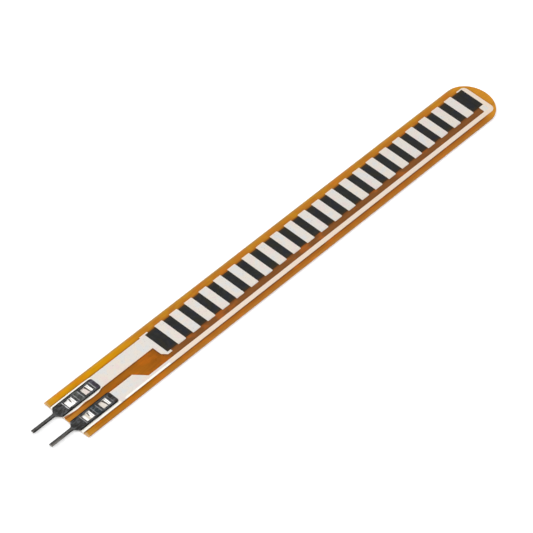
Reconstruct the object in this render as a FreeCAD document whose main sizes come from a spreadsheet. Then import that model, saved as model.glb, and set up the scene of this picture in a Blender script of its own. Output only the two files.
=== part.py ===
import FreeCAD, Part
import math
import os
import Sketcher

# Resistive flex sensor: a narrow amber film with a round tip. On its face lie two silver leads,
# a carbon strip between them and a row of silver segment pads over the carbon. Two stamped
# terminals are clinched through the square end of the film, one on each lead.
# Millimetres. +X runs along the film to its round tip, +Z points out of the printed face.
# The origin is under the middle of the whole part, level with the undersides of the tines.

# Driving dimensions: word, value and what it measures
SIZES = [
    ("film_width", 6.35, "edge to edge"),
    ("film_thickness", 0.13, "polyimide alone"),
    ("silver_thickness", 0.02, "printed silver of the two leads"),
    ("carbon_thickness", 0.02, "printed resistive strip"),
    ("segment_thickness", 0.02, "printed silver of the segment pads"),
    ("band_inset", 14.99, "square end to the start of the carbon"),
    ("band_tip_gap", 1.84, "end of the carbon to the end of the tip"),
    ("band_width", 3.22, "carbon, across the film"),
    ("band_offset", 0.588, "centre line of the carbon, off that of the film"),
    ("segment_count", 22, "number of segment pads"),
    ("segment_pitch", 2.438, "pad to pad, along the film"),
    ("segment_width", 1.26, "pad, along the film"),
    ("segment_inset", 1.70, "start of the carbon to the first pad"),
    ("segment_tail", 1.922, "last pad to the end of the carbon"),
    ("segment_inner_reach", 0.12, "pad past the carbon, on the return trace's side"),
    ("segment_outer_reach", 0.18, "pad past the carbon, on the other side"),
    ("segment_corner", 0.08, "corner radius of a pad"),
    ("lead_inner_margin", 0.06, "silver inside the plate on the contact lead"),
    ("lead_outer_margin", 0.165, "silver outside the plate on the contact lead"),
    ("crimp_pad_length", 5.20, "wider silver under the plate of the contact lead"),
    ("crimp_pad_slope_run", 0.85, "length of its slopes back to the lead"),
    ("crimp_pad_inner_margin", 0.28, "its silver inside the plate"),
    ("crimp_pad_outer_margin", 0.22, "its silver outside the plate"),
    ("return_plate_lap", 0.12, "plate past the inner edge of the return lead"),
    ("return_outer_margin", 0.34, "silver outside the plate on the return lead"),
    ("contact_length", 1.26, "wide end of the contact lead, along the film"),
    ("contact_overlap", 0.50, "how far the carbon lies over it"),
    ("contact_inner_reach", 0.28, "wide end past the carbon, on the return side"),
    ("contact_chamfer", 0.55, "cut corner of the wide end"),
    ("return_width", 0.55, "narrow run of the return trace"),
    ("return_lead_length", 9.73, "wide start of the return trace"),
    ("return_slope_run", 1.25, "length of the slope down to the narrow run"),
    ("end_pad_length", 1.43, "pad at the tip, along the film"),
    ("end_pad_tip_gap", 1.20, "that pad to the end of the tip"),
    ("end_pad_outer_corner", 0.60, "its corner radius beside the carbon"),
    ("end_pad_return_corner", 0.70, "its corner radius where the trace turns"),
    ("end_pad_inner_corner", 0.15, "inner radius of that turn"),
    ("sheet_thickness", 0.13, "stamped sheet of the terminals"),
    ("terminal_pitch", 2.54, "pin to pin"),
    ("plate_width", 1.60, "terminal plate, across"),
    ("plate_corner", 0.30, "radius of its far corners"),
    ("plate_edge_radius", 0.03, "rounding of the plate's upper edge"),
    ("shoulder_radius", 0.25, "rounding where the plate starts to narrow"),
    ("neck_length", 0.52, "taper from plate to pin"),
    ("neck_radius", 0.45, "hollow corner between taper and pin"),
    ("pin_length", 3.40, "parallel part of the pin"),
    ("pin_width", 0.42, "pin, across"),
    ("pin_chamfer", 0.04, "bevel round the end of the pin"),
    ("window_inset", 1.24, "square end to the first window"),
    ("window_length", 1.37, "window, along the film"),
    ("window_width", 0.94, "window, across"),
    ("window_pitch", 2.56, "window to window"),
    ("window_count", 2, "windows in each terminal"),
    ("window_tail", 0.86, "last window to the far end of its plate"),
    ("bend_radius", 0.06, "inner radius of the tines' bends"),
    ("lance_gap", 0.04, "each side of a tine, where it was cut from its window"),
    ("tine_hook", 0.30, "flat end of a tine, clinched under the film"),
    ("tine_point", 0.30, "width left at the tip of a tine"),
    ("slot_clearance", 0.03, "film and silver round a tine's leg"),
]

# How close two places are to count as one
SAME_PLACE = 1e-5


class Formula:
    """A size as the text of an expression, with its present value beside it."""

    def __init__(self, text, value):
        self.text = text
        self.value = value

    def joined(self, sign, other, value):
        """This formula and another, with an arithmetic sign between them."""
        return Formula(f"({self.text} {sign} {as_formula(other).text})", value)

    def __add__(self, other):
        return self.joined("+", other, self.value + as_formula(other).value)

    def __sub__(self, other):
        return self.joined("-", other, self.value - as_formula(other).value)

    def __mul__(self, other):
        return self.joined("*", other, self.value * as_formula(other).value)

    def __truediv__(self, other):
        return self.joined("/", other, self.value / as_formula(other).value)

    def __neg__(self):
        return as_formula(0) - self


def as_formula(number):
    """A plain number as a formula, and a formula as it is."""
    if isinstance(number, Formula):
        return number
    return Formula(str(number), float(number))


# Spreadsheet

doc = FreeCAD.newDocument("FlexSensor")
sheet = doc.addObject("Spreadsheet::Sheet", "Sizes")
for row, (word, value, note) in enumerate(SIZES, 1):
    sheet.set(f"A{row}", word)
    sheet.set(f"B{row}", str(value))
    sheet.set(f"C{row}", note)
    sheet.setAlias(f"B{row}", word)
doc.recompute()


def size(word):
    """The formula of one cell of the spreadsheet."""
    return Formula(f"Sizes.{word}", float(getattr(sheet, word)))


# Heights, from the undersides of the tines upwards
film_bottom = size("sheet_thickness")
film_top = film_bottom + size("film_thickness")
silver_top = film_top + size("silver_thickness")
carbon_top = film_top + size("carbon_thickness")
plate_bottom = silver_top
plate_top = plate_bottom + size("sheet_thickness")

# Lengths that follow from the rows of segment pads and windows
segment_row_length = size("segment_pitch") * (size("segment_count") - 1) + size("segment_width")
band_length = size("segment_inset") + segment_row_length + size("segment_tail")
film_length = size("band_inset") + band_length + size("band_tip_gap")
overall_length = film_length + size("neck_length") + size("pin_length")
window_row_length = size("window_pitch") * (size("window_count") - 1) + size("window_length")
plate_length = size("window_inset") + window_row_length + size("window_tail")

# Places along the part
pin_end_x = -(overall_length / 2)
neck_x = pin_end_x + size("pin_length")
film_end_x = neck_x + size("neck_length")
film_tip_x = film_end_x + film_length
plate_end_x = film_end_x + plate_length
band_start_x = film_end_x + size("band_inset")
band_end_x = band_start_x + band_length
contact_end_x = band_start_x + size("contact_overlap")
contact_start_x = contact_end_x - size("contact_length")
first_segment_x = band_start_x + size("segment_inset")
return_slope_x = film_end_x + size("return_lead_length")
crimp_pad_end_x = film_end_x + size("crimp_pad_length")
crimp_slope_end_x = crimp_pad_end_x + size("crimp_pad_slope_run")
end_pad_end_x = film_tip_x - size("end_pad_tip_gap")
end_pad_start_x = end_pad_end_x - size("end_pad_length")
first_window_x = film_end_x + size("window_inset")

# Places across the part, where the return trace runs along the -Y edge
film_edge_y = size("film_width") / 2
band_low_y = size("band_offset") - size("band_width") / 2
band_high_y = size("band_offset") + size("band_width") / 2
segment_low_y = band_low_y - size("segment_inner_reach")
segment_high_y = band_high_y + size("segment_outer_reach")
contact_low_y = band_low_y - size("contact_inner_reach")
terminal_y = size("terminal_pitch") / 2
plate_inner_y = terminal_y - size("plate_width") / 2
plate_outer_y = terminal_y + size("plate_width") / 2
lead_inner_y = plate_inner_y - size("lead_inner_margin")
lead_outer_y = plate_outer_y + size("lead_outer_margin")
crimp_pad_inner_y = plate_inner_y - size("crimp_pad_inner_margin")
crimp_pad_outer_y = plate_outer_y + size("crimp_pad_outer_margin")
return_lead_y = -(plate_inner_y + size("return_plate_lap"))
return_outer_y = -(plate_outer_y + size("return_outer_margin"))
return_inner_y = return_outer_y + size("return_width")

# Tines and the slots that they pass through
outer_bend_radius = size("bend_radius") + size("sheet_thickness")
tine_width = size("window_width") - size("lance_gap") * 2
slot_length = outer_bend_radius + size("slot_clearance")
slot_width = tine_width + size("slot_clearance") * 2


# Helpers for bodies, sketches and features

def set_size(target, path, formula):
    """Binds one property of an object to the spreadsheet."""
    target.setExpression(path, as_formula(formula).text)


def new_body(label):
    """An empty body whose label names the piece."""
    body = doc.addObject("PartDesign::Body", label)
    body.Label = label
    return body


def origin_part(body, role):
    """One plane or axis of the body's own origin."""
    return next(item for item in body.Origin.OriginFeatures if item.Role == role)


def new_sketch(body, name, plane, height=None, along=None):
    """A sketch on one of the body's planes, moved off it by height and along its first axis."""
    sketch = body.newObject("Sketcher::SketchObject", f"{body.Label}_{name}")
    sketch.AttachmentSupport = [(origin_part(body, plane), "")]
    sketch.MapMode = "FlatFace"
    if height is not None:
        set_size(sketch, "AttachmentOffset.Base.z", height)
    if along is not None:
        set_size(sketch, "AttachmentOffset.Base.x", along)
    doc.recompute()
    return sketch


def tie_point(sketch, edge, end, corner, label):
    """Holds one end of an edge at a corner whose two places come from the spreadsheet."""
    for kind, axis, place in (("DistanceX", "x", corner[0]), ("DistanceY", "y", corner[1])):
        number = sketch.addConstraint(Sketcher.Constraint(kind, edge, end, place.value))
        sketch.renameConstraint(number, f"{label}_{axis}")
        set_size(sketch, f"Constraints.{label}_{axis}", place)


def arc_between(start, finish, centre, turn):
    """An arc about centre; turn is 1 where the outline bulges and -1 where it is hollow."""
    middle = FreeCAD.Vector(centre[0].value, centre[1].value, 0)
    first = FreeCAD.Vector(start[0].value, start[1].value, 0) - middle
    last = FreeCAD.Vector(finish[0].value, finish[1].value, 0) - middle
    if turn < 0:
        first, last = last, first
    circle = Part.Circle(middle, FreeCAD.Vector(0, 0, 1), first.Length)
    return Part.ArcOfCircle(circle, math.atan2(first.y, first.x), math.atan2(last.y, last.x))


def draw_outline(sketch, corners, arcs=None):
    """Draws a closed outline, counter-clockwise, with every corner tied to the spreadsheet.

    arcs maps the number of an edge to its centre, its turn, and the neighbouring straight
    edge, "before" or "after", that it runs into smoothly.
    """
    arcs = arcs or {}
    base = sketch.GeometryCount
    count = len(corners)
    corners = [(as_formula(x), as_formula(y)) for x, y in corners]
    ends = []
    for number, corner in enumerate(corners):
        following = corners[(number + 1) % count]
        if number in arcs:
            centre, turn, _ = arcs[number]
            sketch.addGeometry(arc_between(corner, following, centre, turn), False)
            ends.append((1, 2) if turn > 0 else (2, 1))
        else:
            points = [FreeCAD.Vector(x.value, y.value, 0) for x, y in (corner, following)]
            sketch.addGeometry(Part.LineSegment(*points), False)
            ends.append((1, 2))
    for number, corner in enumerate(corners):
        before = (number - 1) % count
        starts_smooth = number in arcs and arcs[number][2] == "before"
        ends_smooth = before in arcs and arcs[before][2] == "after"
        kind = "Tangent" if starts_smooth or ends_smooth else "Coincident"
        joint = (base + before, ends[before][1], base + number, ends[number][0])
        sketch.addConstraint(Sketcher.Constraint(kind, *joint))
        straight, end = (before, ends[before][1]) if number in arcs else (number, 1)
        tie_point(sketch, base + straight, end, corner, f"corner{base + number}")
    doc.recompute()


def draw_rectangle(sketch, low_x, low_y, high_x, high_y):
    """Draws a rectangle between two opposite corners."""
    draw_outline(sketch, [(low_x, low_y), (high_x, low_y), (high_x, high_y), (low_x, high_y)])


def pad(body, sketch, name, length, side="One side"):
    """Thickens a sketch into solid material."""
    feature = body.newObject("PartDesign::Pad", f"{body.Label}_{name}")
    feature.Profile = sketch
    feature.SideType = side
    set_size(feature, "Length", length)
    doc.recompute()
    return feature


def pocket(body, sketch, name, length):
    """Cuts a sketch out of the body, from the sketch upwards."""
    uncut = body.Shape.Volume
    feature = body.newObject("PartDesign::Pocket", f"{body.Label}_{name}")
    feature.Profile = sketch
    feature.Reversed = True
    set_size(feature, "Length", length)
    doc.recompute()
    if not body.Shape.Volume < uncut:
        raise RuntimeError(f"{feature.Name} cuts nothing")
    return feature


def linear_copies(body, name, originals, pitch, count):
    """Repeats features along X."""
    feature = body.newObject("PartDesign::LinearPattern", f"{body.Label}_{name}")
    feature.Originals = originals
    space_along_x(feature, body, pitch, count)
    body.Tip = feature
    doc.recompute()
    return feature


def space_along_x(pattern, body, pitch, count):
    """Gives a linear pattern its direction, its spacing and its number of copies."""
    pattern.Direction = (origin_part(body, "X_Axis"), [""])
    pattern.Mode = "Spacing"
    set_size(pattern, "Offset", pitch)
    set_size(pattern, "Occurrences", count)


def upright_edges(feature, spots):
    """Names of the edges that stand parallel to Z at the given places."""
    found = []
    for number, edge in enumerate(feature.Shape.Edges, 1):
        box = edge.BoundBox
        if max(box.XLength, box.YLength) > SAME_PLACE:
            continue
        if any(math.hypot(box.XMin - x.value, box.YMin - y.value) < SAME_PLACE for x, y in spots):
            found.append(f"Edge{number}")
    return found


def level_edges(feature, height):
    """Names of the edges that lie all along one level."""
    boxes = [edge.BoundBox for edge in feature.Shape.Edges]
    return [
        f"Edge{number}"
        for number, box in enumerate(boxes, 1)
        if abs(box.ZMin - height.value) < SAME_PLACE and abs(box.ZMax - height.value) < SAME_PLACE
    ]


def end_edges(feature, place):
    """Names of the edges that lie in one plane square to X."""
    boxes = [edge.BoundBox for edge in feature.Shape.Edges]
    return [
        f"Edge{number}"
        for number, box in enumerate(boxes, 1)
        if abs(box.XMin - place.value) < SAME_PLACE and abs(box.XMax - place.value) < SAME_PLACE
    ]


def dress_edges(body, kind, base, name, edges, property_name, amount):
    """Rounds or bevels the named edges of a feature."""
    feature = body.newObject(kind, f"{body.Label}_{name}")
    feature.Base = (base, edges)
    set_size(feature, property_name, amount)
    doc.recompute()
    return feature


def round_edges(body, base, name, edges, radius):
    """Rounds the named edges of a feature."""
    return dress_edges(body, "PartDesign::Fillet", base, name, edges, "Radius", radius)


def bevel_edges(body, base, name, edges, width):
    """Bevels the named edges of a feature."""
    return dress_edges(body, "PartDesign::Chamfer", base, name, edges, "Size", width)


def cut_tine_slots(body, name, middle_y, bottom, thickness):
    """Cuts the slots where one terminal's tines pass through a flat layer.

    A slot runs from the line where its tine starts to bend to just past the tine's outer
    face, so that the edge of the layer lies in the mouth of the tine.
    """
    low_y = middle_y - slot_width / 2
    high_y = middle_y + slot_width / 2
    sketch = new_sketch(body, f"{name}_outline", "XY_Plane", bottom)
    for window in range(round(size("window_count").value)):
        near_x = first_window_x + size("window_pitch") * window
        far_x = near_x + size("window_length")
        draw_rectangle(sketch, near_x, low_y, near_x + slot_length, high_y)
        draw_rectangle(sketch, far_x - slot_length, low_y, far_x, high_y)
    pocket(body, sketch, name, thickness)


# Base film

def make_base_film():
    """The film: square at the terminals, a full round at the tip, slotted for the tines."""
    body = new_body("base_film")
    sketch = new_sketch(body, "outline", "XY_Plane", film_bottom)
    tip_centre_x = film_tip_x - film_edge_y
    corners = [
        (film_end_x, -film_edge_y),
        (tip_centre_x, -film_edge_y),
        (tip_centre_x, film_edge_y),
        (film_end_x, film_edge_y),
    ]
    draw_outline(sketch, corners, {1: ((tip_centre_x, as_formula(0)), 1, "before")})
    pad(body, sketch, "sheet", size("film_thickness"))
    cut_tine_slots(body, "contact_slots", terminal_y, film_bottom, size("film_thickness"))
    cut_tine_slots(body, "return_slots", -terminal_y, film_bottom, size("film_thickness"))
    return body


# Printed silver leads

def make_contact_trace():
    """The lead that starts wide under its terminal and ends wide under the carbon."""
    body = new_body("contact_trace")
    sketch = new_sketch(body, "outline", "XY_Plane", film_top)
    corners = [
        (film_end_x, crimp_pad_inner_y),
        (crimp_pad_end_x, crimp_pad_inner_y),
        (crimp_slope_end_x, lead_inner_y),
        (contact_start_x, lead_inner_y),
        (contact_start_x, contact_low_y + size("contact_chamfer")),
        (contact_start_x + size("contact_chamfer"), contact_low_y),
        (contact_end_x, contact_low_y),
        (contact_end_x, segment_high_y),
        (contact_start_x, segment_high_y),
        (contact_start_x, lead_outer_y),
        (crimp_slope_end_x, lead_outer_y),
        (crimp_pad_end_x, crimp_pad_outer_y),
        (film_end_x, crimp_pad_outer_y),
    ]
    draw_outline(sketch, corners)
    pad(body, sketch, "ink", size("silver_thickness"))
    cut_tine_slots(body, "slots", terminal_y, film_top, size("silver_thickness"))
    return body


def make_return_trace():
    """The lead that narrows, runs along the edge and turns into a pad under the carbon's end."""
    body = new_body("return_trace")
    sketch = new_sketch(body, "outline", "XY_Plane", film_top)
    return_corner = (end_pad_end_x, return_outer_y)
    outer_corner = (end_pad_end_x, segment_high_y)
    inner_corner = (end_pad_start_x, return_inner_y)
    corners = [
        (film_end_x, return_outer_y),
        return_corner,
        outer_corner,
        (end_pad_start_x, segment_high_y),
        inner_corner,
        (return_slope_x + size("return_slope_run"), return_inner_y),
        (return_slope_x, return_lead_y),
        (film_end_x, return_lead_y),
    ]
    draw_outline(sketch, corners)
    shape = pad(body, sketch, "ink", size("silver_thickness"))
    for name, corner in (
        ("end_pad_return_corner", return_corner),
        ("end_pad_outer_corner", outer_corner),
        ("end_pad_inner_corner", inner_corner),
    ):
        shape = round_edges(body, shape, name, upright_edges(shape, [corner]), size(name))
    cut_tine_slots(body, "slots", -terminal_y, film_top, size("silver_thickness"))
    return body


# Carbon strip

def make_carbon_strip():
    """The resistive strip, which steps up over the silver at both of its ends."""
    body = new_body("carbon_strip")
    sketch = new_sketch(body, "section", "XZ_Plane", -size("band_offset"))
    step_top = silver_top + size("carbon_thickness")
    corners = [
        (band_start_x, silver_top),
        (contact_end_x, silver_top),
        (contact_end_x, film_top),
        (end_pad_start_x, film_top),
        (end_pad_start_x, silver_top),
        (band_end_x, silver_top),
        (band_end_x, step_top),
        (end_pad_start_x - size("carbon_thickness"), step_top),
        (end_pad_start_x - size("carbon_thickness"), carbon_top),
        (contact_end_x + size("carbon_thickness"), carbon_top),
        (contact_end_x + size("carbon_thickness"), step_top),
        (band_start_x, step_top),
    ]
    draw_outline(sketch, corners)
    pad(body, sketch, "ink", size("band_width"), "Symmetric")
    return body


# Segment pads

def make_segment_pad(number):
    """One silver pad, printed over the carbon and down onto the film on both sides of it."""
    body = new_body(f"segment_pad_{number:02d}")
    sketch = new_sketch(body, "section", "YZ_Plane")
    ink = size("segment_thickness")
    corners = [
        (segment_low_y, film_top),
        (band_low_y, film_top),
        (band_low_y, carbon_top),
        (band_high_y, carbon_top),
        (band_high_y, film_top),
        (segment_high_y, film_top),
        (segment_high_y, film_top + ink),
        (band_high_y + ink, film_top + ink),
        (band_high_y + ink, carbon_top + ink),
        (band_low_y - ink, carbon_top + ink),
        (band_low_y - ink, film_top + ink),
        (segment_low_y, film_top + ink),
    ]
    draw_outline(sketch, corners)
    shape = pad(body, sketch, "ink", size("segment_width"))
    spots = [
        (x, y)
        for x in (as_formula(0), size("segment_width"))
        for y in (segment_low_y, segment_high_y)
    ]
    round_edges(body, shape, "corners", upright_edges(shape, spots), size("segment_corner"))
    place = first_segment_x + size("segment_pitch") * (number - 1)
    set_size(body, "Placement.Base.x", place)
    return body


# Crimp terminals

def draw_tine_section(sketch):
    """Side view of the tine at the -X end of a window, drawn from the window's middle.

    The strip leaves the plate, bends down through the film and bends back under it, so it
    holds the film and the silver in a C.
    """
    root_x = -(size("window_length") / 2)
    inner_x = root_x + size("bend_radius")
    outer_x = root_x + outer_bend_radius
    hook_x = root_x - size("tine_hook")
    low_bend_z = film_bottom + size("bend_radius")
    high_bend_z = plate_bottom - size("bend_radius")
    corners = [
        (hook_x, as_formula(0)),
        (root_x, as_formula(0)),
        (outer_x, low_bend_z),
        (outer_x, high_bend_z),
        (root_x, plate_top),
        (root_x, plate_bottom),
        (inner_x, high_bend_z),
        (inner_x, low_bend_z),
        (root_x, film_bottom),
        (hook_x, film_bottom),
    ]
    arcs = {
        1: ((root_x, low_bend_z), 1, "before"),
        3: ((root_x, high_bend_z), 1, "before"),
        5: ((root_x, high_bend_z), -1, "after"),
        7: ((root_x, low_bend_z), -1, "before"),
    }
    draw_outline(sketch, corners, arcs)


def make_terminal_blank(body):
    """The flat blank: plate, shoulders, taper and pin, with its stamped edges dressed."""
    half_plate = size("plate_width") / 2
    half_pin = size("pin_width") / 2
    sketch = new_sketch(body, "outline", "XY_Plane", plate_bottom)
    corners = [
        (pin_end_x, -half_pin),
        (neck_x, -half_pin),
        (film_end_x, -half_plate),
        (plate_end_x, -half_plate),
        (plate_end_x, half_plate),
        (film_end_x, half_plate),
        (neck_x, half_pin),
        (pin_end_x, half_pin),
    ]
    draw_outline(sketch, corners)
    shape = pad(body, sketch, "plate", size("sheet_thickness"))
    for name, place, half_width in (
        ("neck_radius", neck_x, half_pin),
        ("shoulder_radius", film_end_x, half_plate),
        ("plate_corner", plate_end_x, half_plate),
    ):
        edges = upright_edges(shape, [(place, -half_width), (place, half_width)])
        shape = round_edges(body, shape, name, edges, size(name))
    edges = end_edges(shape, pin_end_x)
    shape = bevel_edges(body, shape, "pin_chamfer", edges, size("pin_chamfer"))
    edges = level_edges(shape, plate_top)
    round_edges(body, shape, "upper_edge", edges, size("plate_edge_radius"))


def make_crimp_terminal(number, middle_y):
    """One stamped terminal: a windowed plate whose lanced tines clinch it to the film."""
    body = new_body(f"crimp_terminal_{number}")
    make_terminal_blank(body)
    window_middle_x = first_window_x + size("window_length") / 2

    sketch = new_sketch(body, "window_outline", "XY_Plane", plate_bottom, window_middle_x)
    half_length = size("window_length") / 2
    half_width = size("window_width") / 2
    draw_rectangle(sketch, -half_length, -half_width, half_length, half_width)
    window = pocket(body, sketch, "window", size("sheet_thickness"))
    linear_copies(body, "windows", [window], size("window_pitch"), size("window_count"))

    section = new_sketch(body, "tine_section", "XZ_Plane", None, window_middle_x)
    draw_tine_section(section)
    tine = pad(body, section, "tine", tine_width, "Symmetric")

    sketch = new_sketch(body, "tine_tip_outline", "XY_Plane", as_formula(0), window_middle_x)
    hook_x = -half_length - size("tine_hook")
    side_y = tine_width / 2
    tip_y = size("tine_point") - side_y
    draw_outline(sketch, [(-half_length, side_y), (hook_x, side_y), (hook_x, tip_y)])
    tip = pocket(body, sketch, "tine_tip", size("sheet_thickness"))

    tines = body.newObject("PartDesign::MultiTransform", f"{body.Label}_tines")
    tines.Originals = [tine, tip]
    facing = body.newObject("PartDesign::Mirrored", f"{body.Label}_facing_tines")
    facing.MirrorPlane = (section, ["V_Axis"])
    spaced = body.newObject("PartDesign::LinearPattern", f"{body.Label}_spaced_tines")
    space_along_x(spaced, body, size("window_pitch"), size("window_count"))
    tines.Transformations = [facing, spaced]
    body.Tip = tines
    doc.recompute()
    set_size(body, "Placement.Base.y", middle_y)
    return body


# Whole part

segment_count = round(size("segment_count").value)
pieces = [make_base_film(), make_contact_trace(), make_return_trace(), make_carbon_strip()]
pieces += [make_segment_pad(number) for number in range(1, segment_count + 1)]
pieces += [make_crimp_terminal(1, terminal_y), make_crimp_terminal(2, -terminal_y)]
doc.recompute()

for item in doc.Objects:
    if "Invalid" in item.State or "Error" in item.State:
        raise RuntimeError(f"{item.Label} failed to compute: {item.State}")
for piece in pieces:
    shape = piece.Shape
    if shape.isNull() or not shape.isValid() or len(shape.Solids) != 1:
        raise RuntimeError(f"{piece.Label} is not one valid solid")

os.makedirs("parts", exist_ok=True)
for piece in pieces:
    piece.Shape.exportStep(os.path.join("parts", f"{piece.Label}.step"))
    print(f"{piece.Label}: {piece.Shape.Volume:.4f} mm3")
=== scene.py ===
"""Finishes, stage, lamps and camera for the flex sensor.

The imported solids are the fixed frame: +X runs along the film to its round tip, +Z points out of
the printed face, and the floor is at Z 0. Blender works in metres, and so do the stage and the
lamps. Whatever the finishes measure is in millimetres.
"""

import logging
import math
from collections.abc import Sequence
from dataclasses import dataclass
from enum import Enum
from functools import partial, reduce

import bpy
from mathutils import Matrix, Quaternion, Vector

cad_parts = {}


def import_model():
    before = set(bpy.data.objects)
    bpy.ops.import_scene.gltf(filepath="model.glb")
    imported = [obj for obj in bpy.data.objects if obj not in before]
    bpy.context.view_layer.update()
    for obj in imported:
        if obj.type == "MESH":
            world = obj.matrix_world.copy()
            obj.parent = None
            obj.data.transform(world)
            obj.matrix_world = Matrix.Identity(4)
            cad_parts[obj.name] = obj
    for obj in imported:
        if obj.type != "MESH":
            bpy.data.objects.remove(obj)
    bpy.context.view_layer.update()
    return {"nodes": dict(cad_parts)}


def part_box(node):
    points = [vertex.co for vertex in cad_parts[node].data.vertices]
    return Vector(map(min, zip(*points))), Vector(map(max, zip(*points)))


LOG = logging.getLogger("flex_sensor")
MM = 0.001
WHITE = (1.0, 1.0, 1.0)
TOP_LEVEL = 255
CURVE_START, CURVE_SLOPE, CURVE_LIFT, CURVE_POWER = 0.04045, 12.92, 0.055, 2.4
MIX_FIRST, MIX_SECOND, MIX_RESULT = 6, 7, 2

Socket = bpy.types.NodeSocket
Number = float | Socket
Colour = tuple[float, float, float]
# Where a soft step starts and ends, or what a number is at a share of 0 and at a share of 1
Span = tuple[float, float]


def seen_as(red: int, green: int, blue: int) -> Colour:
    """Turns a display colour into the linear one that shaders take.

    Args:
        red: Red from 0 to 255.
        green: Green from 0 to 255.
        blue: Blue from 0 to 255.

    Returns:
        The linear colour.
    """

    def linear(level: int) -> float:
        """Undoes the display curve for one channel.

        Args:
            level: The channel, from 0 to 255.

        Returns:
            The linear share of full light.
        """
        share = level / TOP_LEVEL
        if share <= CURVE_START:
            return share / CURVE_SLOPE
        return ((share + CURVE_LIFT) / (1 + CURVE_LIFT)) ** CURVE_POWER

    return linear(red), linear(green), linear(blue)


@dataclass(frozen=True)
class Extent:
    """The box of one node, in millimetres."""

    low: Vector
    high: Vector

    @classmethod
    def of(cls, node: str) -> "Extent":
        """Measures a node of the frame.

        Args:
            node: The node's name.

        Returns:
            Its box.
        """
        low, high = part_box(node)
        return cls(low / MM, high / MM)

    @property
    def middle(self) -> Vector:
        """The middle of the box."""
        return (self.low + self.high) / 2


@dataclass(frozen=True)
class LeadEdges:
    """Edges of the silver leads that no node's own box gives, in millimetres."""

    crimp_end_x: float = -29.295
    crimp_slope: float = 0.85
    crimp_inner_y: float = 0.19
    crimp_outer_y: float = 2.29
    contact_inner_y: float = 0.41
    contact_outer_y: float = 2.235
    return_inner_y: float = -0.59
    return_slope_x: float = -24.765
    run_width: float = 0.55
    block_length: float = 1.26


@dataclass(frozen=True)
class Windows:
    """The row of windows in each terminal, in millimetres."""

    first_middle: float = -32.57
    pitch: float = 2.56
    length: float = 1.37
    width: float = 0.94
    terminal_y: float = 1.27
    count: int = 2
    row_gap: float = 0.05
    row_soft: float = 0.02
    side_soft: float = 0.1

    @property
    def start(self) -> float:
        """Half a pitch before the middle of the first window."""
        return self.first_middle - self.pitch / 2

    @property
    def end(self) -> float:
        """Half a pitch past the middle of the last window."""
        return self.start + self.pitch * self.count


@dataclass(frozen=True)
class Layout:
    """Places on the sensor that the finishes refer to, in millimetres."""

    film: Extent
    contact: Extent
    trace: Extent
    band: Extent
    terminal: Extent
    leads: LeadEdges = LeadEdges()
    windows: Windows = Windows()

    @classmethod
    def measured(cls) -> "Layout":
        """Reads every box off the frame's own nodes.

        Returns:
            The layout.
        """
        return cls(
            film=Extent.of("base_film"),
            contact=Extent.of("contact_trace"),
            trace=Extent.of("return_trace"),
            band=Extent.of("carbon_strip"),
            terminal=Extent.of("crimp_terminal_1"),
        )

    @property
    def run(self) -> Span:
        """The two long edges of the return lead's narrow run."""
        return self.trace.low.y, self.trace.low.y + self.leads.run_width

    @property
    def block_x(self) -> float:
        """Where the contact lead widens into the block under the carbon."""
        return self.contact.high.x - self.leads.block_length


@dataclass(frozen=True)
class Grain:
    """One cloudy noise of a finish.

    The size of its patches is in millimetres. Below 1, drawn stretches them along the film.
    """

    size: float
    detail: float = 3.0
    roughness: float = 0.55
    distortion: float = 0.0
    drawn: float = 1.0


@dataclass(frozen=True)
class Tint:
    """A tone that comes in as a measure goes from the start of the reach to its end."""

    tone: Colour
    reach: Span
    share: float = 1.0


class Step(Enum):
    """A step of arithmetic, by Blender's own name for it."""

    ADD = "ADD"
    SUBTRACT = "SUBTRACT"
    MULTIPLY = "MULTIPLY"
    DIVIDE = "DIVIDE"
    MULTIPLY_ADD = "MULTIPLY_ADD"
    MAXIMUM = "MAXIMUM"
    ABSOLUTE = "ABSOLUTE"
    SIGN = "SIGN"
    WRAP = "WRAP"
    COSINE = "COSINE"


class Side(Enum):
    """The side of an edge of the ink on which the bare film lies."""

    BEFORE = -1.0
    BEYOND = 1.0


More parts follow.
